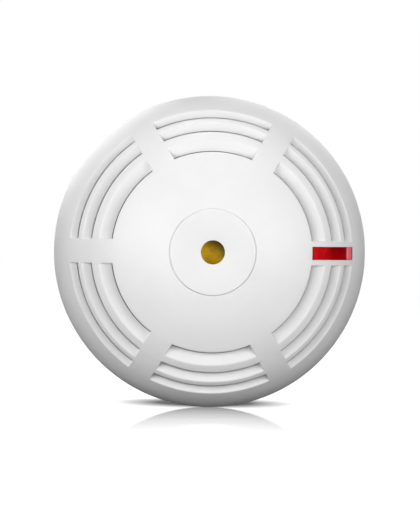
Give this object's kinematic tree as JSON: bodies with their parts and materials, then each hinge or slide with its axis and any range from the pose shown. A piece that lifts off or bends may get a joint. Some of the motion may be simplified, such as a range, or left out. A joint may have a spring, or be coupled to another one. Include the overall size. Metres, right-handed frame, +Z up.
{
  "type": "heat detector",
  "caption": "Round white heat detector: louvred dome head with a central sensor port and a red window, twisting on to a flat wiring base.",
  "frame": {"origin": "centre of the flat back of the base, where the detector meets the ceiling or wall", "axes": "-Y points out of the dome into the room and +Y into the wall; +X points to the indicator window; +Z is up as the detector stands on its edge"},
  "size_m": [0.108, 0.0598, 0.108],
  "materials": {
    "cover_white": "fine satin moulded ABS, off-white",
    "base_white": "fine satin moulded ABS, off-white",
    "chassis_white": "plain moulded plastic, off-white",
    "window_red": "glossy translucent red acrylic",
    "brass": "satin brass",
    "steel": "zinc-plated steel",
    "board_green": "green solder mask",
    "chip_black": "black moulded epoxy",
    "can_metal": "drawn metal can",
    "ceramic_blue": "blue epoxy-dipped ceramic",
    "bead_black": "dark glass-coated bead",
    "reed_glass": "green-tinted sealed glass tube"
  },
  "bodies": {
    "base": {"base_plate": "base_white", "base_contact_1": "brass", "base_contact_2": "brass", "base_contact_3": "brass", "base_contact_4": "brass", "terminal_clamp_1": "steel", "terminal_clamp_2": "steel", "terminal_clamp_3": "steel", "terminal_clamp_4": "steel", "terminal_screw_1": "steel", "terminal_screw_2": "steel", "terminal_screw_3": "steel", "terminal_screw_4": "steel"},
    "head": {"front_cover": "cover_white", "centre_cap": "cover_white", "rear_housing": "chassis_white", "inner_shield": "chassis_white", "sensor_tower": "chassis_white", "indicator_window": "window_red", "status_led": "window_red", "heat_collector": "brass", "head_contact_1": "brass", "head_contact_2": "brass", "head_contact_3": "brass", "head_contact_4": "brass", "cover_screw_1": "steel", "cover_screw_2": "steel", "cover_screw_3": "steel", "board_screw_1": "steel", "board_screw_2": "steel", "board_screw_3": "steel", "led_lead_1": "steel", "led_lead_2": "steel", "thermistor_lead_1": "steel", "thermistor_lead_2": "steel", "circuit_board": "board_green", "microcontroller": "chip_black", "line_driver": "chip_black", "bridge_rectifier": "chip_black", "choke": "chip_black", "tamper_switch": "chip_black", "smoothing_capacitor": "can_metal", "crystal": "can_metal", "surge_suppressor": "ceramic_blue", "thermistor_bead": "bead_black", "reference_thermistor": "bead_black", "reed_switch": "reed_glass"},
    "tamper_plunger": {"tamper_plunger": "chassis_white"}
  },
  "joints": [
    {"name": "head_twist", "type": "hinge", "parent": "base", "child": "head", "pos_m": [0, 0, 0], "axis": [0, -1, 0], "range_deg": [0, 22]},
    {"name": "tamper_press", "type": "slide", "parent": "head", "child": "tamper_plunger", "axis": [0, -1, 0], "range_m": [0, 0.0012], "stiffness_N_per_m": 250}
  ]
}
